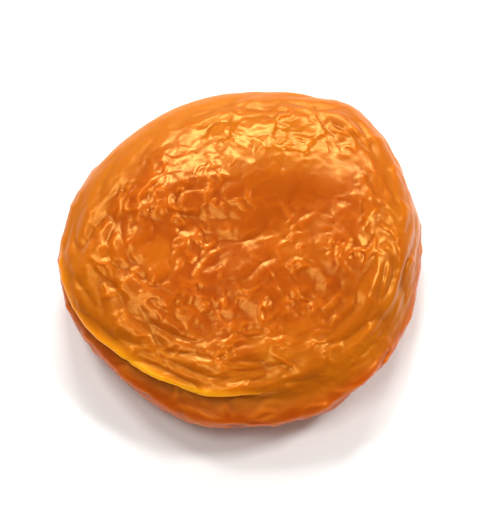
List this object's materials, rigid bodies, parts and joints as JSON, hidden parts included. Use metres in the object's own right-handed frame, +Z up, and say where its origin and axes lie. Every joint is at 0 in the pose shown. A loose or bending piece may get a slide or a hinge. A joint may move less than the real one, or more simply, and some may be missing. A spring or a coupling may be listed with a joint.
{
  "type": "dried apricot",
  "caption": "Whole pitted dried apricot, pressed into a wrinkled flat round with a folded seam round its edge.",
  "frame": {"origin": "under the middle of the fruit's box, on the surface that it rests on", "axes": "+Z up from the resting spot, +X along the fruit's longer way, -Y the front, where the lower half stands out past the upper lip"},
  "size_m": [0.0382, 0.037, 0.0118],
  "materials": {
    "skin": "glossy, wrinkled, slightly translucent dried fruit skin"
  },
  "bodies": {
    "root": {"dried_apricot": "skin"}
  },
  "joints": []
}
